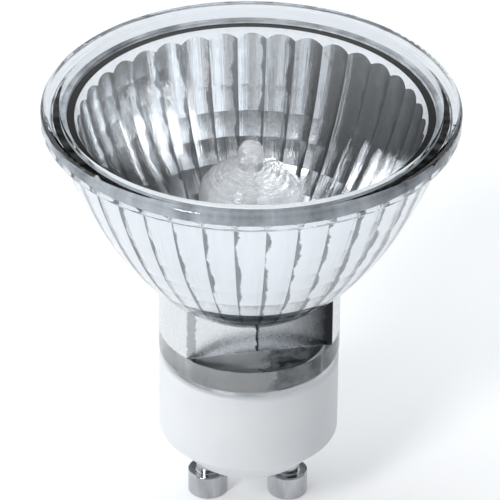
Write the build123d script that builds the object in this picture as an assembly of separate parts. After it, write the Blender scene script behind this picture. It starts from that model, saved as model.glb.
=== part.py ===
from build123d import *
from math import asin, cos, degrees, pi, radians, sin, sqrt, tan
import os

# A 51 mm halogen reflector lamp on a twist-and-lock base with two pins 10 mm apart.
# It stands on its pins. The origin is on the lamp's axis at the pins' lower faces, and +Z
# points out of the light opening. Millimetres.

# Overall
RIM_RADIUS = 25.4
RIM_TOP = 56.4
RIM_UNDERSIDE = 53.8
RIM_EDGE_ROUND = 0.75
RIM_ROOT_ROUND = 0.6

# Outer surface of the bowl, a turned ellipse
BOWL_SEMI_RADIAL = 29.0
BOWL_SEMI_AXIAL = 61.14
BOWL_CENTRE = 88.16

# Inner surface of the bowl: troughs side by side between sharp ridges, in stepped rows
FLUTES = 36
FLUTE_DEPTH = 0.012
INNER_SEMI_RADIAL = 21.83
INNER_SEMI_AXIAL = 35.8
INNER_CENTRE = 64.0
ROW_LEVELS = (54.2, 50.3, 47.0, 43.9, 41.0, 38.2, 35.6, 33.2, 31.3)
BOWL_FLOOR = 29.0
BOWL_FLOOR_RADIUS = 4.4

# Recess that holds the front glass
SEAT_LEVEL = 54.0
RECESS_RADIUS = 23.1
SHOULDER_RADIUS = 21.3
SHOULDER_SLOPE = 64.0
SHOULDER_DEPTH = 2.0
GLASS_RADIUS = 22.4
GLASS_THICKNESS = 1.2
GLASS_EDGE_BREAK = 0.15
SEAL_HEIGHT = 1.0
SEAL_DIP = 0.2

# Neck, with a flat on the front and one on the back
NECK_RADIUS = 11.2
NECK_TURN = 11.4
NECK_FLAT_DISTANCE = 6.6
NECK_TOP = 32.4
LEDGE_LEVEL = 24.9
NECK_BOTTOM = 21.5
NECK_BOTTOM_ROUND = 0.9
SPIGOT_RADIUS = 9.5
SPIGOT_BOTTOM = 13.0
SLOT_HALF_WIDTH = 7.5
SLOT_HALF_DEPTH = 4.7
SLOT_SIDE_DEPTH = 4.0
SLOT_CREST = 0.9
SLOT_CORNER_ROUND = 1.0
SLOT_TOP = 30.6

# Halogen capsule, blown from quartz tube, with its pinched foot
CAPSULE_RADIUS = 6.35
CAPSULE_WALL = 0.9
CAPSULE_BASE = 36.0
CAPSULE_SHOULDER = 43.0
CAPSULE_DOME = 4.0
CAPSULE_ROOT = 4.2
TIP_RADIUS = 1.55
TIP_TOP = 50.4
TIP_HOLLOW_RADIUS = 0.55
TIP_HOLLOW_TOP = 48.6
PINCH_WIDTH = 11.0
PINCH_THICKNESS = 3.0
PINCH_CORNER_ROUND = 0.8
PINCH_BOTTOM = 17.0
PINCH_TOP = 33.0

# Filament and the wires that carry it
FILAMENT_RADIUS = 0.75
FILAMENT_WIRE = 0.16
FILAMENT_TURNS = 7
FILAMENT_BOTTOM = 37.4
FILAMENT_PITCH = 0.8
FILAMENT_TAIL = 0.6
LEAD_WIRE = 0.3
LEAD_SPREAD = 2.2
LEAD_FOOT = 27.6
LEAD_BEND = 0.5
LEAD_CRANK_BOTTOM = 2.2
LEAD_CRANK_TOP = 1.2
LEAD_HOOK = 1.1
FOIL_WIDTH = 2.0
FOIL_THICKNESS = 0.05
FOIL_BOTTOM = 20.6
FOIL_TOP = 28.8
OUTER_WIRE = 0.35
OUTER_WIRE_TOP = 21.6
OUTER_WIRE_KNEE = 15.2
OUTER_WIRE_BEND = 1.0
OUTER_WIRE_DROP = 1.8

# Ceramic cap
CAP_RADIUS = 11.12
CAP_TOP = 20.85
CAP_BEVEL_TOP = 10.4
CAP_BOTTOM = 6.8
CAP_BOTTOM_RADIUS = 7.58
CAP_CAVITY_RADIUS = 10.0
CAP_FLOOR = 9.6
CAP_LIP_ROUND = 0.5
CAP_BEVEL_ROUND = 0.5
CAP_FOOT_ROUND = 0.25
CEMENT_TOP = 29.2
CEMENT_BOTTOM = 17.6
CAP_CEMENT_TOP = 20.2

# How far a cutter runs past the face that it opens
CUT_PAST = 1.0

# Contact pins, riveted through the cap's floor
PIN_SPACING = 10.0
PIN_HEAD_RADIUS = 2.5
PIN_HEAD_HEIGHT = 3.1
PIN_HEAD_ROUND = 0.15
PIN_NECK_RADIUS = 1.5
PIN_RIVET_RADIUS = 2.2
PIN_RIVET_HEIGHT = 0.6
PIN_BORE_BOTTOM = 8.0


def ellipse_radius(semi_radial, semi_axial, centre, z):
    """Radius at height z of a turned ellipse whose centre is above the part."""
    return semi_radial * sqrt(1.0 - ((centre - z) / semi_axial) ** 2)


def disc(radius, bottom, top):
    """Plain disc on the lamp's axis."""
    return Pos(0, 0, bottom) * extrude(Circle(radius), top - bottom)


def turned(edges):
    """Solid turned about Z from the edges of a closed (radius, height) outline."""
    return revolve(Plane.XZ * make_face(edges), Axis.Z)


def turned_points(points):
    """The same, from straight runs through (radius, height) points."""
    return turned(Polyline(*points, close=True).edges())


def ellipse_arc(semi_radial, semi_axial, centre, top):
    """Arc of a turned ellipse, from its lowest point on the axis up to the height top."""
    rise = degrees(asin((top - centre) / semi_axial)) + 90.0
    return EllipticalCenterArc((0, centre), semi_radial, semi_axial, -90, arc_size=rise)


def bowl_outside():
    """Rim flange and bowl as one full solid, down to the ellipse's lowest point."""
    edge, edge_radius = RIM_EDGE_ROUND, RIM_RADIUS - RIM_EDGE_ROUND
    side = ellipse_arc(BOWL_SEMI_RADIAL, BOWL_SEMI_AXIAL, BOWL_CENTRE, RIM_UNDERSIDE)
    outline = make_face([
        side,
        Line(side @ 1, (edge_radius, RIM_UNDERSIDE)),
        RadiusArc((edge_radius, RIM_UNDERSIDE), (RIM_RADIUS, RIM_UNDERSIDE + edge), -edge),
        Line((RIM_RADIUS, RIM_UNDERSIDE + edge), (RIM_RADIUS, RIM_TOP - edge)),
        RadiusArc((RIM_RADIUS, RIM_TOP - edge), (edge_radius, RIM_TOP), -edge),
        Line((edge_radius, RIM_TOP), (0, RIM_TOP)),
        Line((0, RIM_TOP), side @ 0),
    ])
    root = outline.vertices().sort_by_distance(side @ 1)[0]
    return revolve(Plane.XZ * fillet(root, RIM_ROOT_ROUND), Axis.Z)


def neck_outside():
    """Neck with its two flats, the full round collar below them and the spigot."""
    upper = disc(NECK_RADIUS, NECK_BOTTOM + NECK_BOTTOM_ROUND, NECK_TOP)
    slab = Rot(0, 0, NECK_TURN) * Box(4 * NECK_RADIUS, 2 * NECK_FLAT_DISTANCE, 4 * NECK_TOP)
    curve = NECK_BOTTOM_ROUND
    collar = turned([
        *Polyline((0, SPIGOT_BOTTOM), (SPIGOT_RADIUS, SPIGOT_BOTTOM), (SPIGOT_RADIUS, NECK_BOTTOM)).edges(),
        Line((SPIGOT_RADIUS, NECK_BOTTOM), (NECK_RADIUS - curve, NECK_BOTTOM)),
        RadiusArc((NECK_RADIUS - curve, NECK_BOTTOM), (NECK_RADIUS, NECK_BOTTOM + curve), -curve),
        Line((NECK_RADIUS, NECK_BOTTOM + curve), (NECK_RADIUS, LEDGE_LEVEL)),
        Line((NECK_RADIUS, LEDGE_LEVEL), (0, LEDGE_LEVEL)),
        Line((0, LEDGE_LEVEL), (0, SPIGOT_BOTTOM)),
    ])
    return (upper & slab) + collar


def fluted_section(z):
    """Outline of the fluted surface at height z: one outward arc for each flute.

    The flutes are centred on +X and so also on the front, the back and both sides.
    """
    radius = ellipse_radius(INNER_SEMI_RADIAL, INNER_SEMI_AXIAL, INNER_CENTRE, z)
    step = 2.0 * pi / FLUTES
    turns = [step * (k - 0.5) for k in range(FLUTES + 1)]
    ridges = [(radius * cos(turn), radius * sin(turn)) for turn in turns]
    arcs = []
    for k in range(FLUTES):
        middle = step * k
        reach = radius * (cos(step / 2.0) + FLUTE_DEPTH)
        arcs.append(ThreePointArc(ridges[k], (reach * cos(middle), reach * sin(middle)), ridges[k + 1]))
    return Pos(0, 0, z) * make_face(arcs)


def bowl_hollow():
    """Everything inside the bowl: flutes, floor, the seat's shoulder and the glass recess."""
    flutes = loft([fluted_section(z) for z in ROW_LEVELS], ruled=True)
    lowest = ROW_LEVELS[-1]
    wide = ellipse_radius(INNER_SEMI_RADIAL, INNER_SEMI_AXIAL, INNER_CENTRE, lowest)
    floor = turned_points([(0, BOWL_FLOOR), (BOWL_FLOOR_RADIUS, BOWL_FLOOR), (wide, lowest), (0, lowest)])
    drop = SHOULDER_DEPTH
    narrow = SHOULDER_RADIUS - drop / tan(radians(SHOULDER_SLOPE))
    shoulder = turned_points([
        (0, SEAT_LEVEL - drop),
        (narrow, SEAT_LEVEL - drop),
        (SHOULDER_RADIUS, SEAT_LEVEL),
        (0, SEAT_LEVEL),
    ])
    recess = disc(RECESS_RADIUS, SEAT_LEVEL, RIM_TOP + CUT_PAST)
    return flutes + floor + shoulder + recess


def neck_slot(bottom, top):
    """Slot that takes the capsule's pinch. Its long walls meet in a slight crest."""
    crest, deep, shallow, half = SLOT_CREST, SLOT_HALF_DEPTH, SLOT_SIDE_DEPTH, SLOT_HALF_WIDTH
    near_wall = [(-half, -shallow), (crest, -deep), (half, -shallow)]
    far_wall = [(half, shallow), (-crest, deep), (-half, shallow)]
    outline = make_face(Polyline(*near_wall, *far_wall, close=True))
    ends = [corner for corner in outline.vertices() if abs(corner.X) > half - 0.1]
    outline = fillet(ends, SLOT_CORNER_ROUND)
    return Rot(0, 0, NECK_TURN) * Pos(0, 0, bottom) * extrude(outline, top - bottom)


def make_reflector():
    """Pressed glass: rim, bowl, neck and spigot are one piece."""
    slot = neck_slot(SPIGOT_BOTTOM - CUT_PAST, SLOT_TOP)
    return bowl_outside() + neck_outside() - bowl_hollow() - slot


def make_front_glass():
    glass = disc(GLASS_RADIUS, SEAT_LEVEL, SEAT_LEVEL + GLASS_THICKNESS)
    return chamfer(glass.edges(), GLASS_EDGE_BREAK)


def make_front_seal():
    """Bead between the glass's edge and the recess wall, with a dished top."""
    inner, outer, top = GLASS_RADIUS, RECESS_RADIUS, SEAT_LEVEL + SEAL_HEIGHT
    middle = (inner + outer) / 2.0
    return turned([
        Line((inner, SEAT_LEVEL + GLASS_EDGE_BREAK), (inner, top)),
        ThreePointArc((inner, top), (middle, top - SEAL_DIP), (outer, top)),
        Line((outer, top), (outer, SEAT_LEVEL)),
        Line((outer, SEAT_LEVEL), (inner - GLASS_EDGE_BREAK, SEAT_LEVEL)),
        Line((inner - GLASS_EDGE_BREAK, SEAT_LEVEL), (inner, SEAT_LEVEL + GLASS_EDGE_BREAK)),
    ])


def capsule_form(inset):
    """Blown envelope, or with an inset the space inside it."""
    radius, root, base = CAPSULE_RADIUS - inset, CAPSULE_ROOT, CAPSULE_BASE
    foot = base - root + inset
    dome_top = CAPSULE_SHOULDER + CAPSULE_DOME - inset
    dome = EllipticalCenterArc((0, CAPSULE_SHOULDER), radius, CAPSULE_DOME - inset, 0, arc_size=90)
    bulge = EllipticalCenterArc((0, base), radius, root - inset, -90, arc_size=90)
    return turned([
        bulge,
        Line((radius, base), (radius, CAPSULE_SHOULDER)),
        dome,
        Line((0, dome_top), (0, foot)),
    ])


def tip_form(radius, top):
    """Round-ended stub where the exhaust tube was melted off."""
    start = CAPSULE_SHOULDER
    return turned([
        Line((0, start), (radius, start)),
        Line((radius, start), (radius, top - radius)),
        RadiusArc((radius, top - radius), (0, top), -radius),
        Line((0, top), (0, start)),
    ])


def foil(side):
    """Foil strip in the pinch. The wires are welded to its near face."""
    face = -LEAD_WIRE - FOIL_THICKNESS / 2.0
    middle = (FOIL_BOTTOM + FOIL_TOP) / 2.0
    return Pos(side * LEAD_SPREAD, face, middle) * Box(FOIL_WIDTH, FOIL_THICKNESS, FOIL_TOP - FOIL_BOTTOM)


def wire(points, bend, radius):
    """Round wire along straight runs joined by arcs."""
    path = FilletPolyline(*points, radius=bend) if len(points) > 2 else Line(*points)
    return sweep(Plane(path @ 0, z_dir=path % 0) * Circle(radius), path)


def coil_ends():
    """Heights of the coil's lower and upper ends."""
    return FILAMENT_BOTTOM, FILAMENT_BOTTOM + FILAMENT_TURNS * FILAMENT_PITCH


def make_filament():
    """Upright coil with a short straight tail at each end."""
    low, high = coil_ends()
    r, height = FILAMENT_RADIUS, high - low
    path = Helix(FILAMENT_PITCH, height, r)
    coil = sweep(Plane(path @ 0, z_dir=path % 0) * Circle(FILAMENT_WIRE), path, is_frenet=True)
    for start, joint in ((-FILAMENT_TAIL, 0.0), (height, height)):
        coil += Pos(r, 0, start) * extrude(Circle(FILAMENT_WIRE), FILAMENT_TAIL)
        coil += Pos(r, 0, joint) * Sphere(FILAMENT_WIRE)
    return Pos(0, 0, low) * coil


def make_short_lead():
    """From the right foil to the coil's lower tail."""
    low, _ = coil_ends()
    x, r = LEAD_SPREAD, FILAMENT_RADIUS
    end = low - FILAMENT_TAIL
    crank = [(x, 0, end - LEAD_CRANK_BOTTOM), (r, 0, end - LEAD_CRANK_TOP)]
    return wire([(x, 0, LEAD_FOOT), *crank, (r, 0, end)], LEAD_BEND, LEAD_WIRE)


def make_long_lead():
    """From the left foil up beside the coil, over its top and down to the upper tail."""
    _, high = coil_ends()
    x, r = -LEAD_SPREAD, FILAMENT_RADIUS
    end = high + FILAMENT_TAIL
    hook = [(x, 0, end + LEAD_HOOK), (r, 0, end + LEAD_HOOK)]
    return wire([(x, 0, LEAD_FOOT), *hook, (r, 0, end)], LEAD_BEND, LEAD_WIRE)


def make_outer_lead(side):
    """From a foil down out of the pinch and across into the bore of its contact pin."""
    turn = radians(NECK_TURN)
    offset = OUTER_WIRE - LEAD_WIRE
    x = side * LEAD_SPREAD * cos(turn) - offset * sin(turn)
    y = side * LEAD_SPREAD * sin(turn) + offset * cos(turn)
    pin = side * PIN_SPACING / 2.0
    above_pin = CAP_FLOOR + PIN_RIVET_HEIGHT + OUTER_WIRE_DROP
    upper = [(x, y, OUTER_WIRE_TOP), (x, y, OUTER_WIRE_KNEE)]
    lower = [(pin, 0, above_pin), (pin, 0, PIN_BORE_BOTTOM)]
    return wire(upper + lower, OUTER_WIRE_BEND, OUTER_WIRE)


def pinch_block():
    """Flat foot of the capsule, where the soft quartz was pinched onto the foils."""
    height = PINCH_TOP - PINCH_BOTTOM
    block = Pos(0, 0, PINCH_BOTTOM + height / 2.0) * Box(PINCH_WIDTH, PINCH_THICKNESS, height)
    return fillet(block.edges().filter_by(Axis.Z), PINCH_CORNER_ROUND)


def make_capsule():
    """Envelope and pinch in one piece, around the gas space."""
    envelope = capsule_form(0) + tip_form(TIP_RADIUS, TIP_TOP) + pinch_block()
    hollow = capsule_form(CAPSULE_WALL) + tip_form(TIP_HOLLOW_RADIUS, TIP_HOLLOW_TOP)
    return envelope - hollow


def make_capsule_cement(pinch):
    return neck_slot(CEMENT_BOTTOM, CEMENT_TOP) - pinch


def make_ceramic_cap():
    """Cup with a bevelled foot, a rounded lip and a hole for each pin."""
    lip, r, cavity = CAP_LIP_ROUND, CAP_RADIUS, CAP_CAVITY_RADIUS
    outline = make_face(Polyline(
        (0, CAP_BOTTOM),
        (CAP_BOTTOM_RADIUS, CAP_BOTTOM),
        (r, CAP_BEVEL_TOP),
        (r, CAP_TOP),
        (cavity, CAP_TOP),
        (cavity, CAP_FLOOR),
        (0, CAP_FLOOR),
        close=True,
    ))
    rounds = {
        (CAP_BOTTOM_RADIUS, CAP_BOTTOM): CAP_FOOT_ROUND,
        (r, CAP_BEVEL_TOP): CAP_BEVEL_ROUND,
        (r, CAP_TOP): lip,
        (cavity, CAP_TOP): lip,
        (cavity, CAP_FLOOR): CAP_FOOT_ROUND,
    }
    for (x, z), radius in rounds.items():
        corner = outline.vertices().sort_by_distance((x, z, 0))[0]
        outline = fillet(corner, radius)
    cup = revolve(Plane.XZ * outline, Axis.Z)
    for side in (-1, 1):
        hole = disc(PIN_NECK_RADIUS, CAP_BOTTOM - CUT_PAST, CAP_FLOOR + CUT_PAST)
        cup -= Pos(side * PIN_SPACING / 2.0, 0, 0) * hole
    return cup


def make_cap_cement():
    """Cement that fills the gap between the spigot and the cup."""
    outer, inner = CAP_CAVITY_RADIUS, SPIGOT_RADIUS
    return disc(outer, SPIGOT_BOTTOM, CAP_CEMENT_TOP) - disc(inner, SPIGOT_BOTTOM, CAP_CEMENT_TOP)


def make_pin(side):
    """Turned contact pin: head, neck, shank through the cap's floor and the riveted end."""
    head, edge, neck, rivet = PIN_HEAD_RADIUS, PIN_HEAD_ROUND, PIN_NECK_RADIUS, PIN_RIVET_RADIUS
    top = CAP_FLOOR + PIN_RIVET_HEIGHT
    outline = make_face(Polyline(
        (0, 0),
        (head, 0),
        (head, PIN_HEAD_HEIGHT),
        (neck, PIN_HEAD_HEIGHT),
        (neck, CAP_FLOOR),
        (rivet, CAP_FLOOR),
        (rivet, top),
        (0, top),
        close=True,
    ))
    rounded = [(head, 0, 0), (head, PIN_HEAD_HEIGHT, 0), (rivet, top, 0), (neck, PIN_HEAD_HEIGHT, 0)]
    for point in rounded:
        outline = fillet(outline.vertices().sort_by_distance(point)[0], edge)
    pin = revolve(Plane.XZ * outline, Axis.Z)
    pin -= disc(OUTER_WIRE, PIN_BORE_BOTTOM, top + CUT_PAST)
    return Pos(side * PIN_SPACING / 2.0, 0, 0) * pin


def make_parts():
    """Every piece by name, in its place."""
    turn = Rot(0, 0, NECK_TURN)
    sides = {"left": -1, "right": 1}
    inner = {
        "filament": make_filament(),
        "filament_lead_short": make_short_lead(),
        "filament_lead_long": make_long_lead(),
        "foil_left": foil(-1),
        "foil_right": foil(1),
    }
    parts = {name: turn * piece for name, piece in inner.items()}
    for name, side in sides.items():
        parts["outer_lead_" + name] = make_outer_lead(side)
        parts["pin_" + name] = make_pin(side)
    sealed = [name for name in parts if "lead" in name or "foil" in name]
    parts["capsule"] = turn * make_capsule()
    for name in sealed:
        parts["capsule"] -= parts[name]
    parts["capsule_cement"] = make_capsule_cement(turn * pinch_block())
    parts["reflector"] = make_reflector()
    parts["front_glass"] = make_front_glass()
    parts["front_seal"] = make_front_seal()
    parts["ceramic_cap"] = make_ceramic_cap()
    parts["cap_cement"] = make_cap_cement()
    return parts


os.makedirs("parts", exist_ok=True)
for name, piece in make_parts().items():
    export_step(piece, f"parts/{name}.step")
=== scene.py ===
from math import cos, hypot, pi, radians, sin, sqrt, tan

import bpy
from mathutils import Matrix, Vector

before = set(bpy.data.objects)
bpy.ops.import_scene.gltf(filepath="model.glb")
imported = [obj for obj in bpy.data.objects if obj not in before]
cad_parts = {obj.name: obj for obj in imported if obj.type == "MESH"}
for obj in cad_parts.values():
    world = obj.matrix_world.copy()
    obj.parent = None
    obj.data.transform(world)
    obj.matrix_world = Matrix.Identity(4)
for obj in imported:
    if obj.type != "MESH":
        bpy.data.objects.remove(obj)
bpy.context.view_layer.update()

# The halogen reflector lamp on a pale studio floor, seen from the photograph's angle.
# Lengths are metres, as in the frame, apart from the values that are named as millimetres.

MM = 0.001

# Camera, in degrees, millimetres and pixels of the photograph
CAMERA_DISTANCE = 630.6
CAMERA_ELEVATION = 32.43
CAMERA_TARGET = 35.53
CAMERA_ROLL = 0.6
CAMERA_FOCAL_PIXELS = 5157.5
PHOTO_WIDTH = 500.0
SENSOR = 36.0

# Fluted mirror on the bowl's inside, in the part's millimetres
FLUTED_SEMI_RADIAL = 21.83
FLUTED_SEMI_AXIAL = 35.8
FLUTED_CENTRE = 64.0
FLUTED_BOTTOM = 29.0
FLUTED_TOP = 53.9
FLUTE_COUNT = 36
SHOULDER_LEVEL = 52.2

# Neck and its coat, in millimetres. The coat's places are measured along the flat, from its middle.
NECK_RADIUS = 11.2
NECK_TURN = 11.4
NECK_TOP = 32.4
NECK_BOTTOM = 21.5
LEDGE_LEVEL = 24.9
SPIGOT_RADIUS = 9.5
FLAT_HALF_WIDTH = 9.05
SLOT_LIMIT_RADIUS = 8.6
SLOT_LIMIT_LEVEL = 31.0
SLOT_CREST = 0.9
LINING_BOTTOM = 24.6
COAT_SEAM = -0.3
COAT_STRIP = -8.5
# Where the painted shade across the neck's flat begins, and where it is darkest
PAINTED_SHADE_START = 0.7
PAINTED_SHADE_END = 8.2

# Rim, seat and sealing bead, in millimetres
RIM_UNDERSIDE = 53.8
SEAT_LEVEL = 54.0
SHOULDER_RADIUS = 21.3
RECESS_RADIUS = 23.1
BEAD_RADIUS = 22.4
BEAD_TOP = 55.0

# A face is taken as upright or level within this part of its normal, and placed within these millimetres
NORMAL_SLACK = 0.1
PLACE_SLACK = 0.1
ROUND_SLACK = 0.2

# The reflector's materials, in the order of its slots
BOWL, MIRROR, SLOT, RIM, WETTED, BEDDING, NECK = range(7)

# Tints that more than one material needs
# The bowl's tint is greyer than clear glass: painted shade that darkens all that is seen through the bowl
BOWL_TINT = (0.80, 0.825, 0.85)
RIM_TINT = (0.76, 0.79, 0.82)
LAMP_TINT = (0.94, 0.95, 0.96)
SILICONE_DARK = (0.20, 0.22, 0.24)
SILICONE_LIGHT = (0.58, 0.61, 0.64)
# The darkest colour serves the seams, and the far end of the painted shade on the neck
SEAM_AND_SHADE_DARK = (0.02, 0.02, 0.022)
SEAM_LIGHT = (0.05, 0.05, 0.055)


def add_camera():
    data = bpy.data.cameras.new("camera")
    data.sensor_width = SENSOR
    data.lens = SENSOR * CAMERA_FOCAL_PIXELS / PHOTO_WIDTH
    data.clip_end = 10.0
    camera = bpy.data.objects.new("camera", data)
    bpy.context.scene.collection.objects.link(camera)
    tilt = radians(CAMERA_ELEVATION)
    target = Vector((0, 0, CAMERA_TARGET * MM))
    camera.location = target + CAMERA_DISTANCE * MM * Vector((0, -cos(tilt), sin(tilt)))
    view = (target - camera.location).to_track_quat("-Z", "Y").to_matrix().to_4x4()
    roll = Matrix.Rotation(radians(CAMERA_ROLL), 4, "Z")
    camera.rotation_euler = (view @ roll).to_euler()
    bpy.context.scene.camera = camera


# Shader building

def add_node(tree, kind, inputs=None, **settings):
    """New node with its settings. Its inputs are given as values, or as sockets to link."""
    node = tree.nodes.new(kind)
    for name, value in settings.items():
        setattr(node, name, value)
    for name, value in (inputs or {}).items():
        if isinstance(value, bpy.types.NodeSocket):
            tree.links.new(value, node.inputs[name])
        else:
            node.inputs[name].default_value = value
    return node


def math(tree, operation, first, second=0.0):
    return add_node(tree, "ShaderNodeMath", {0: first, 1: second}, operation=operation).outputs[0]


def mapped(tree, value, low, high, start=0.0, end=1.0):
    """Value carried from the range low to high over to the range start to end."""
    inputs = {"Value": value, "From Min": low, "From Max": high, "To Min": start, "To Max": end}
    return add_node(tree, "ShaderNodeMapRange", inputs).outputs["Result"]


def noise(tree, vector, scale, detail=3.0, roughness=0.5):
    inputs = {"Vector": vector, "Scale": scale, "Detail": detail, "Roughness": roughness}
    return add_node(tree, "ShaderNodeTexNoise", inputs).outputs["Fac"]


def place_of(tree):
    """Position on the part, in metres, as a vector and as its three separate sockets."""
    place = add_node(tree, "ShaderNodeTexCoord").outputs["Object"]
    split = add_node(tree, "ShaderNodeSeparateXYZ", {0: place})
    return place, split.outputs[0], split.outputs[1], split.outputs[2]


def radius_of(tree, x, y):
    """Distance from the lamp's axis."""
    square = math(tree, "ADD", math(tree, "MULTIPLY", x, x), math(tree, "MULTIPLY", y, y))
    return math(tree, "SQRT", square)


def turned_across(tree, x, y):
    """Distance along the neck's flats, which are turned against the pins."""
    turn = radians(NECK_TURN)
    return math(tree, "ADD", math(tree, "MULTIPLY", x, cos(turn)), math(tree, "MULTIPLY", y, sin(turn)))


def wandering(tree, value, torn, back, ahead):
    """Value moved by noise, from back to ahead, in metres."""
    return math(tree, "ADD", value, mapped(tree, torn, 0.0, 1.0, back, ahead))


def distance_from(tree, value, line):
    """Distance from a line that is given in millimetres."""
    return math(tree, "ABSOLUTE", math(tree, "SUBTRACT", value, line * MM))


def blended(tree, share, first, second):
    """Colour between two colours, each one a socket or three numbers."""
    node = tree.nodes.new("ShaderNodeMix")
    node.data_type = "RGBA"
    tree.links.new(share, node.inputs[0])
    for socket, colour in ((node.inputs[6], first), (node.inputs[7], second)):
        if isinstance(colour, bpy.types.NodeSocket):
            tree.links.new(colour, socket)
        else:
            socket.default_value = (*colour, 1.0)
    return node.outputs[2]


def bumped(tree, height, strength, distance):
    inputs = {"Height": height, "Strength": strength, "Distance": distance}
    return add_node(tree, "ShaderNodeBump", inputs).outputs["Normal"]


def new_material(name, **uniform):
    """Material with its main shader, whose uniform values are set on the shader's own sockets."""
    material = bpy.data.materials.new(name)
    material.use_nodes = True
    tree = material.node_tree
    shader = tree.nodes["Principled BSDF"]
    for key, value in uniform.items():
        socket = shader.inputs[key.replace("_", " ").title().replace("Ior", "IOR")]
        socket.default_value = (*value, 1.0) if isinstance(value, tuple) else value
    return material, tree, shader


def link(tree, shader, **sockets):
    for key, socket in sockets.items():
        tree.links.new(socket, shader.inputs[key.replace("_", " ").title()])


def let_lamps_through(tree, shader, tint):
    """Rays towards the lamps pass a glass piece straight, so what is inside it is lit."""
    clear = add_node(tree, "ShaderNodeBsdfTransparent", {"Color": (*tint, 1.0)})
    path = add_node(tree, "ShaderNodeLightPath")
    mix = add_node(tree, "ShaderNodeMixShader", {0: path.outputs["Is Shadow Ray"]})
    tree.links.new(shader.outputs[0], mix.inputs[1])
    tree.links.new(clear.outputs[0], mix.inputs[2])
    tree.links.new(mix.outputs[0], tree.nodes["Material Output"].inputs["Surface"])


# Materials

def pressed_glass(name, tint):
    """Clear pressed glass with the mould's slight waves."""
    material, tree, shader = new_material(name, base_color=tint, transmission_weight=1.0, ior=1.5)
    place, _, _, _ = place_of(tree)
    waves = noise(tree, place, 160.0, 2.0)
    haze = noise(tree, place, 900.0)
    link(tree, shader, roughness=mapped(tree, haze, 0.3, 0.8, 0.0, 0.03))
    link(tree, shader, normal=bumped(tree, waves, 0.12, 0.0005))
    let_lamps_through(tree, shader, LAMP_TINT)
    return material


def cover_glass():
    material, tree, shader = new_material(
        "cover_glass", base_color=(0.985, 0.992, 1.0), transmission_weight=1.0, ior=1.5)
    place, _, _, _ = place_of(tree)
    dust = noise(tree, place, 1500.0, 4.0, 0.7)
    link(tree, shader, roughness=mapped(tree, dust, 0.55, 0.85, 0.0, 0.05))
    let_lamps_through(tree, shader, (0.96, 0.965, 0.97))
    return material


def streaks_along_flutes(tree, x, y, z, around, along):
    """Noise drawn out along the flutes: fine round the lamp's axis and long up and down."""
    turn = math(tree, "ARCTAN2", y, x)
    vector = add_node(tree, "ShaderNodeCombineXYZ", {
        0: math(tree, "MULTIPLY", turn, around),
        1: math(tree, "MULTIPLY", z, along),
    }).outputs[0]
    return noise(tree, vector, 1.0, 4.0, 0.6)


def mirror_coat():
    """Vapour-coated aluminium, painted dark along one side of each flute's ridge as painted shade."""
    material, tree, shader = new_material("mirror_coat", metallic=1.0)
    place, x, y, z = place_of(tree)
    streaks = streaks_along_flutes(tree, x, y, z, 60.0, 120.0)
    patches = streaks_along_flutes(tree, x, y, z, 5.7, 260.0)
    fine = noise(tree, place, 700.0)
    flute = math(tree, "MULTIPLY", math(tree, "ARCTAN2", y, x), FLUTE_COUNT / (2.0 * pi))
    past_ridge = math(tree, "FRACT", math(tree, "ADD", flute, 0.5))
    # Painted shade: a dark band along one side of each flute's ridge, its width wandering with noise.
    width = mapped(tree, patches, 0.3, 0.7, -0.02, 0.3)
    painted_shade_band = mapped(tree, math(tree, "SUBTRACT", past_ridge, width), -0.04, 0.02, 1.0, 0.0)
    bright = blended(tree, streaks, (0.84, 0.86, 0.88), (0.95, 0.965, 0.98))
    wear_and_painted_shade = blended(tree, streaks, (0.10, 0.11, 0.12), (0.42, 0.44, 0.46))
    link(
        tree, shader,
        base_color=blended(tree, painted_shade_band, bright, wear_and_painted_shade),
        roughness=mapped(tree, fine, 0.3, 0.8, 0.0, 0.03),
        normal=bumped(tree, streaks, 0.12, 0.0003),
    )
    return material


def slot_lining():
    """Lining of the neck's slot: satin coat above the ledge, cement against the glass below it, with painted
    shade towards one side.
    """
    material, tree, shader = new_material("slot_lining")
    place, x, y, z = place_of(tree)
    torn = noise(tree, place, 1400.0, 5.0, 0.7)
    patches = noise(tree, place, 420.0, 4.0, 0.65)
    across = turned_across(tree, x, y)
    edge = wandering(tree, z, torn, -0.0006, 0.0006)
    coated = mapped(tree, edge, LINING_BOTTOM * MM, (LINING_BOTTOM + 0.1) * MM)
    off_seam = distance_from(tree, wandering(tree, across, torn, -0.0004, 0.0004), SLOT_CREST)
    seam = mapped(tree, off_seam, 0.00012, 0.0002, 1.0, 0.0)
    coat = blended(tree, torn, (0.80, 0.82, 0.84), (0.92, 0.935, 0.95))
    coat = blended(tree, seam, coat, blended(tree, torn, SEAM_AND_SHADE_DARK, SEAM_LIGHT))
    # Painted shade: below the ledge the cement is painted mottled dark towards one side of the slot.
    painted_shade_share = mapped(tree, wandering(tree, across, patches, -0.004, 0.004), 0.0014, 0.0017)
    painted_shade_colour = blended(tree, mapped(tree, patches, 0.42, 0.58), (0.05, 0.055, 0.06), (0.45, 0.47, 0.5))
    clean = blended(tree, torn, (0.90, 0.91, 0.92), (0.96, 0.965, 0.97))
    filled = blended(tree, painted_shade_share, clean, painted_shade_colour)
    link(
        tree, shader,
        base_color=blended(tree, coated, filled, coat),
        metallic=math(tree, "MULTIPLY", coated, mapped(tree, seam, 0.0, 1.0, 1.0, 0.0)),
        roughness=mapped(tree, torn, 0.2, 0.9, 0.24, 0.4),
        normal=bumped(tree, torn, 0.2, 0.0003),
    )
    return material


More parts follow.
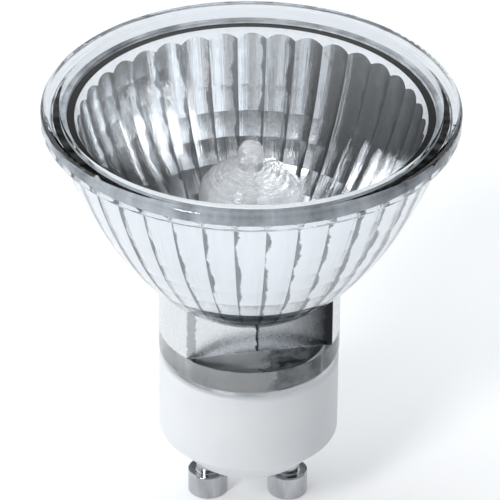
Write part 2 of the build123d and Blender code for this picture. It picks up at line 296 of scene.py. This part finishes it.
def neck_coat():
    """Neck's outside: satin coat above the ledge, with painted shade deepening across one side, and clear
    glass below.
    """
    material, tree, shader = new_material("neck_coat", ior=1.5)
    place, x, y, z = place_of(tree)
    torn = noise(tree, place, 1400.0, 5.0, 0.7)
    across = turned_across(tree, x, y)
    edge = wandering(tree, z, torn, -0.0003, 0.0001)
    coated = mapped(tree, edge, LEDGE_LEVEL * MM, (LEDGE_LEVEL + 0.05) * MM)
    torn_across = wandering(tree, across, torn, -0.0006, 0.0006)
    seam = mapped(tree, distance_from(tree, torn_across, COAT_SEAM), 0.0001, 0.00022, 1.0, 0.0)
    strip = mapped(tree, distance_from(tree, torn_across, COAT_STRIP), 0.0005, 0.0006, 1.0, 0.0)
    # Painted shade: beyond the seam the coat darkens from grey to near black across the flat.
    deepening = mapped(tree, torn_across, PAINTED_SHADE_START * MM, PAINTED_SHADE_END * MM)
    painted_shade = blended(tree, deepening, (0.50, 0.52, 0.54), SEAM_AND_SHADE_DARK)
    beyond_seam = mapped(tree, across, COAT_SEAM * MM, (COAT_SEAM + 0.05) * MM)
    beyond_flat = mapped(tree, across, FLAT_HALF_WIDTH * MM, (FLAT_HALF_WIDTH + 0.1) * MM)
    bright = blended(tree, torn, (0.66, 0.68, 0.70), (0.76, 0.775, 0.79))
    black = blended(tree, torn, SEAM_AND_SHADE_DARK, SEAM_LIGHT)
    grey = blended(tree, torn, (0.30, 0.32, 0.34), (0.50, 0.52, 0.54))
    coat = blended(tree, beyond_seam, bright, painted_shade)
    coat = blended(tree, beyond_flat, coat, bright)
    coat = blended(tree, strip, coat, grey)
    coat = blended(tree, seam, coat, black)
    clear = blended(tree, torn, (0.95, 0.96, 0.965), (0.98, 0.985, 0.99))
    link(
        tree, shader,
        base_color=blended(tree, coated, clear, coat),
        metallic=coated,
        transmission_weight=math(tree, "SUBTRACT", 1.0, coated),
        roughness=math(tree, "MULTIPLY", coated, mapped(tree, torn, 0.2, 0.9, 0.22, 0.34)),
        normal=bumped(tree, torn, 0.08, 0.0002),
    )
    let_lamps_through(tree, shader, LAMP_TINT)
    return material


def wetted_glass():
    """Recess of the rim: clear glass, and milky where the sealing bead sticks to it."""
    material, tree, shader = new_material("wetted_glass", ior=1.5)
    place, x, y, z = place_of(tree)
    cloud = noise(tree, place, 260.0, 4.0, 0.6)
    radius = radius_of(tree, x, y)
    outer = mapped(tree, radius, (BEAD_RADIUS - 0.05) * MM, BEAD_RADIUS * MM)
    stuck = math(tree, "MULTIPLY", outer, mapped(tree, z, BEAD_TOP * MM, (BEAD_TOP + 0.03) * MM, 1.0, 0.0))
    milky = blended(tree, mapped(tree, cloud, 0.35, 0.65), SILICONE_DARK, SILICONE_LIGHT)
    link(
        tree, shader,
        base_color=blended(tree, stuck, RIM_TINT, milky),
        transmission_weight=math(tree, "SUBTRACT", 1.0, stuck),
        roughness=math(tree, "MULTIPLY", stuck, 0.5),
    )
    let_lamps_through(tree, shader, LAMP_TINT)
    return material


def quartz():
    """Blown quartz: the dome carries faint rings and ripples round the axis."""
    # A share of the dome is diffuse near-white: painted brightness that stands in for light through clear
    # quartz.
    material, tree, shader = new_material(
        "quartz", base_color=(0.99, 0.995, 1.0), transmission_weight=0.82, ior=1.46)
    place, x, y, z = place_of(tree)
    radius = radius_of(tree, x, y)
    wander = noise(tree, place, 350.0, 3.0)
    phase = math(tree, "ADD", math(tree, "MULTIPLY", radius, 9000.0), math(tree, "MULTIPLY", wander, 9.0))
    rings = mapped(tree, math(tree, "SINE", phase), -1.0, 1.0)
    height = math(tree, "ADD", rings, math(tree, "MULTIPLY", wander, 3.0))
    link(tree, shader, normal=bumped(tree, height, 0.5, 0.0002))
    link(tree, shader, roughness=mapped(tree, wander, 0.2, 0.8, 0.0, 0.12))
    let_lamps_through(tree, shader, (0.96, 0.96, 0.97))
    return material


def silicone(name):
    """Milky sealing bead with trapped bubbles."""
    material, tree, shader = new_material(name)
    place, _, _, _ = place_of(tree)
    cloud = noise(tree, place, 260.0, 4.0, 0.6)
    bubbles = noise(tree, place, 2600.0, 2.0)
    link(
        tree, shader,
        base_color=blended(tree, mapped(tree, cloud, 0.35, 0.65), SILICONE_DARK, SILICONE_LIGHT),
        roughness=mapped(tree, cloud, 0.3, 0.7, 0.25, 0.5),
        normal=bumped(tree, bubbles, 0.4, 0.0002),
    )
    return material


def metal(name, dark, light, low, high, scale, drawn=1.0):
    """Bare metal, drawn out along Z by the given factor, with spots of wear and polish."""
    material, tree, shader = new_material(name, metallic=1.0)
    place, _, _, _ = place_of(tree)
    stretch = add_node(tree, "ShaderNodeMapping", {"Vector": place, "Scale": (1.0, 1.0, 1.0 / drawn)})
    wear_and_painted_shade = noise(tree, stretch.outputs[0], scale, 4.0, 0.6)
    link(
        tree, shader,
        base_color=blended(tree, mapped(tree, wear_and_painted_shade, 0.3, 0.7), dark, light),
        roughness=mapped(tree, wear_and_painted_shade, 0.3, 0.7, low, high),
        normal=bumped(tree, wear_and_painted_shade, 0.15, 0.0001),
    )
    return material


def cement(name, dark, light):
    """Set cement: pale, rough and grainy, with darker hollows."""
    material, tree, shader = new_material(name, roughness=0.9)
    place, _, _, _ = place_of(tree)
    grain = noise(tree, place, 2200.0, 4.0, 0.7)
    cloud = noise(tree, place, 320.0, 3.0)
    link(
        tree, shader,
        base_color=blended(tree, mapped(tree, cloud, 0.35, 0.6), dark, light),
        roughness=mapped(tree, grain, 0.2, 0.8, 0.75, 0.95),
        normal=bumped(tree, grain, 0.6, 0.0002),
    )
    return material


def ceramic():
    """Fine white ceramic with a dull skin, faint clouds and a few dark specks."""
    material, tree, shader = new_material("ceramic")
    place, _, _, _ = place_of(tree)
    cloud = noise(tree, place, 120.0, 3.0)
    skin = noise(tree, place, 2600.0, 4.0, 0.65)
    specks = noise(tree, place, 900.0, 1.0)
    clean = blended(tree, mapped(tree, cloud, 0.3, 0.7), (0.82, 0.84, 0.86), (0.86, 0.875, 0.89))
    link(
        tree, shader,
        base_color=blended(tree, mapped(tree, specks, 0.86, 0.90), clean, (0.55, 0.57, 0.59)),
        roughness=mapped(tree, skin, 0.2, 0.8, 0.42, 0.58),
        normal=bumped(tree, skin, 0.12, 0.0001),
    )
    return material


def dress(names, *materials):
    for name in names:
        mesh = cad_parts[name].data
        mesh.materials.clear()
        for material in materials:
            mesh.materials.append(material)


def is_fluted(centre, normal):
    """True for a face of the bowl's fluted inside, which carries the mirror."""
    radius = hypot(centre.x, centre.y)
    drop = (FLUTED_CENTRE - centre.z) / FLUTED_SEMI_AXIAL
    if not FLUTED_BOTTOM - PLACE_SLACK < centre.z < FLUTED_TOP or abs(drop) >= 1.0:
        return False
    inward = normal.x * centre.x + normal.y * centre.y < 0.05 * radius
    limit = FLUTED_SEMI_RADIAL * sqrt(1.0 - drop * drop)
    shoulder = centre.z > SHOULDER_LEVEL and normal.z > 0.36
    return inward and normal.z > -NORMAL_SLACK and radius < 1.02 * limit and not shoulder


def is_slot_wall(centre, normal):
    """True for a face of the slot that runs down through the neck."""
    inward = normal.x * centre.x + normal.y * centre.y < 0.0
    within = hypot(centre.x, centre.y) < SLOT_LIMIT_RADIUS and centre.z < SLOT_LIMIT_LEVEL
    return inward and within and abs(normal.z) < NORMAL_SLACK


def is_recess(centre, normal):
    """True for a face of the seat or of the wall round the front glass."""
    radius = hypot(centre.x, centre.y)
    on_seat = normal.z > 1.0 - NORMAL_SLACK and abs(centre.z - SEAT_LEVEL) < PLACE_SLACK
    round_wall = abs(normal.z) < NORMAL_SLACK and abs(radius - RECESS_RADIUS) < ROUND_SLACK
    on_wall = round_wall and centre.z > SEAT_LEVEL
    return radius > SHOULDER_RADIUS and (on_seat or on_wall)


def is_neck_outside(centre, normal):
    """True for an upright outer face of the neck, round or flat."""
    radius = hypot(centre.x, centre.y)
    outward = normal.x * centre.x + normal.y * centre.y > 0.3 * radius
    within = NECK_BOTTOM < centre.z < NECK_TOP and radius < NECK_RADIUS + PLACE_SLACK
    return outward and within and abs(normal.z) < NORMAL_SLACK


def is_spigot_wall(centre, normal):
    """True for a face of the round wall below the neck that is bedded in cement."""
    radius = hypot(centre.x, centre.y)
    round_wall = abs(normal.z) < NORMAL_SLACK and abs(radius - SPIGOT_RADIUS) < ROUND_SLACK
    return round_wall and centre.z < NECK_BOTTOM


def dress_front_glass():
    """Clear glass with its edge in the milky sealing bead."""
    dress(["front_glass"], cover_glass(), silicone("glass_edge"))
    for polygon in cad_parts["front_glass"].data.polygons:
        polygon.material_index = 1 if abs(polygon.normal.z) < 1.0 - NORMAL_SLACK else 0


def lining_of(centre, normal):
    """Number of the reflector's material for a face with this centre, in millimetres, and normal."""
    if is_slot_wall(centre, normal):
        return SLOT
    if is_fluted(centre, normal):
        return MIRROR
    if is_recess(centre, normal):
        return WETTED
    if centre.z > RIM_UNDERSIDE - PLACE_SLACK:
        return RIM
    if is_spigot_wall(centre, normal):
        return BEDDING
    if is_neck_outside(centre, normal):
        return NECK
    return BOWL


def coat_reflector():
    linings = {
        BOWL: pressed_glass("bowl_glass", BOWL_TINT),
        MIRROR: mirror_coat(),
        SLOT: slot_lining(),
        RIM: pressed_glass("rim_glass", RIM_TINT),
        WETTED: wetted_glass(),
        BEDDING: cement("spigot_cement", (0.62, 0.64, 0.66), (0.94, 0.95, 0.955)),
        NECK: neck_coat(),
    }
    dress(["reflector"], *(linings[number] for number in sorted(linings)))
    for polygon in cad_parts["reflector"].data.polygons:
        polygon.material_index = lining_of(polygon.center / MM, polygon.normal)


def dress_all():
    coat_reflector()
    dress_front_glass()
    dress(["front_seal"], silicone("silicone"))
    dress(["capsule"], quartz())
    dress(["filament"], metal("tungsten", (0.42, 0.42, 0.43), (0.62, 0.62, 0.63), 0.25, 0.45, 3000.0))
    leads = [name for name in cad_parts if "lead" in name]
    dress(leads, metal("lead_wire", (0.55, 0.55, 0.57), (0.75, 0.75, 0.77), 0.2, 0.4, 1800.0, 6.0))
    foils = [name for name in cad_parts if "foil" in name]
    dress(foils, metal("foil", (0.45, 0.45, 0.47), (0.65, 0.65, 0.67), 0.2, 0.35, 1500.0))
    dress(["capsule_cement"], cement("capsule_cement", (0.60, 0.63, 0.65), (0.84, 0.86, 0.87)))
    dress(["cap_cement"], cement("cap_cement", (0.55, 0.57, 0.59), (0.78, 0.80, 0.81)))
    dress(["ceramic_cap"], ceramic())
    pins = [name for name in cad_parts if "pin_" in name]
    dress(pins, metal("nickel_plate", (0.34, 0.35, 0.37), (0.60, 0.615, 0.63), 0.12, 0.22, 500.0, 3.0))


# Studio

FLOOR_HALF = 4.0
FLOOR_COLOUR = (0.93, 0.93, 0.93)
FLOOR_GLOW = 0.18
ROOM_LEVEL = 0.07
ROOM_COLOUR = (0.94, 0.97, 1.0)
EDGE_SOFTNESS = 0.05
OVERHEAD_EDGE = (0.78, 0.82)
OVERHEAD_STRENGTH = 1.35
KEY_PLACE = (-0.55, -0.75, 0.75)
KEY_TARGET = (0.0, 0.0, 0.03)
KEY_SIZE = (0.25, 0.25)
KEY_POWER = 5.0

# Each softbox: azimuth, half width, bottom and top in degrees, and strength
SOFTBOXES = (
    (165.0, 38.0, 8.0, 55.0, 1.6),
    (42.0, 16.0, 8.0, 50.0, 1.3),
    (95.0, 12.0, 4.0, 30.0, 0.9),
)


def add_floor():
    mesh = bpy.data.meshes.new("floor")
    half = FLOOR_HALF
    corners = [(-half, -half, 0), (half, -half, 0), (half, half, 0), (-half, half, 0)]
    mesh.from_pydata(corners, [], [(0, 1, 2, 3)])
    floor = bpy.data.objects.new("floor", mesh)
    bpy.context.scene.collection.objects.link(floor)
    material, tree, shader = new_material("floor", base_color=FLOOR_COLOUR, roughness=0.9)
    shader.inputs["Emission Color"].default_value = (1.0, 1.0, 1.0, 1.0)
    path = add_node(tree, "ShaderNodeLightPath")
    seen = math(tree, "MAXIMUM", path.outputs["Is Camera Ray"], path.outputs["Is Glossy Ray"])
    seen = math(tree, "MAXIMUM", seen, path.outputs["Is Transmission Ray"])
    tree.links.new(math(tree, "MULTIPLY", seen, FLOOR_GLOW), shader.inputs["Emission Strength"])
    mesh.materials.append(material)


def add_lamp(name, location, target, size, power):
    data = bpy.data.lights.new(name, "AREA")
    data.shape = "RECTANGLE"
    data.size, data.size_y = size
    data.energy = power
    lamp = bpy.data.objects.new(name, data)
    lamp.location = location
    lamp.rotation_euler = (Vector(target) - Vector(location)).to_track_quat("-Z", "Y").to_euler()
    bpy.context.scene.collection.objects.link(lamp)


def dot(tree, vector, direction):
    inputs = {0: vector, 1: direction}
    return add_node(tree, "ShaderNodeVectorMath", inputs, operation="DOT_PRODUCT").outputs["Value"]


def softbox(tree, way, azimuth, half_width, low, high, strength):
    """Upright rectangle of light round the set. Angles in degrees, azimuth from +X towards +Y."""
    turn = radians(azimuth)
    ahead = math(tree, "MAXIMUM", dot(tree, way, (cos(turn), sin(turn), 0.0)), 0.001)
    aside = math(tree, "ABSOLUTE", math(tree, "DIVIDE", dot(tree, way, (-sin(turn), cos(turn), 0.0)), ahead))
    rise = math(tree, "DIVIDE", dot(tree, way, (0.0, 0.0, 1.0)), ahead)
    side, bottom, top = (tan(radians(angle)) for angle in (half_width, low, high))
    within = mapped(tree, aside, side + EDGE_SOFTNESS, side, 0.0, strength)
    within = math(tree, "MULTIPLY", within, mapped(tree, rise, bottom - EDGE_SOFTNESS, bottom))
    return math(tree, "MULTIPLY", within, mapped(tree, rise, top + EDGE_SOFTNESS, top))


def add_world():
    """Dim room with a light overhead and softboxes on the left, on the right and behind."""
    world = bpy.data.worlds.new("world")
    world.use_nodes = True
    bpy.context.scene.world = world
    tree = world.node_tree
    background = tree.nodes["Background"]
    way = add_node(tree, "ShaderNodeTexCoord").outputs["Generated"]
    height = dot(tree, way, (0.0, 0.0, 1.0))
    lights = [mapped(tree, height, *OVERHEAD_EDGE, 0.0, OVERHEAD_STRENGTH)]
    lights += [softbox(tree, way, *box) for box in SOFTBOXES]
    level = ROOM_LEVEL
    for light in lights:
        level = math(tree, "MAXIMUM", light, level)
    tree.links.new(level, background.inputs["Strength"])
    background.inputs["Color"].default_value = (*ROOM_COLOUR, 1.0)


add_camera()
dress_all()
add_floor()
add_world()
add_lamp("key", KEY_PLACE, KEY_TARGET, KEY_SIZE, KEY_POWER)
bpy.context.scene.view_settings.view_transform = "Standard"
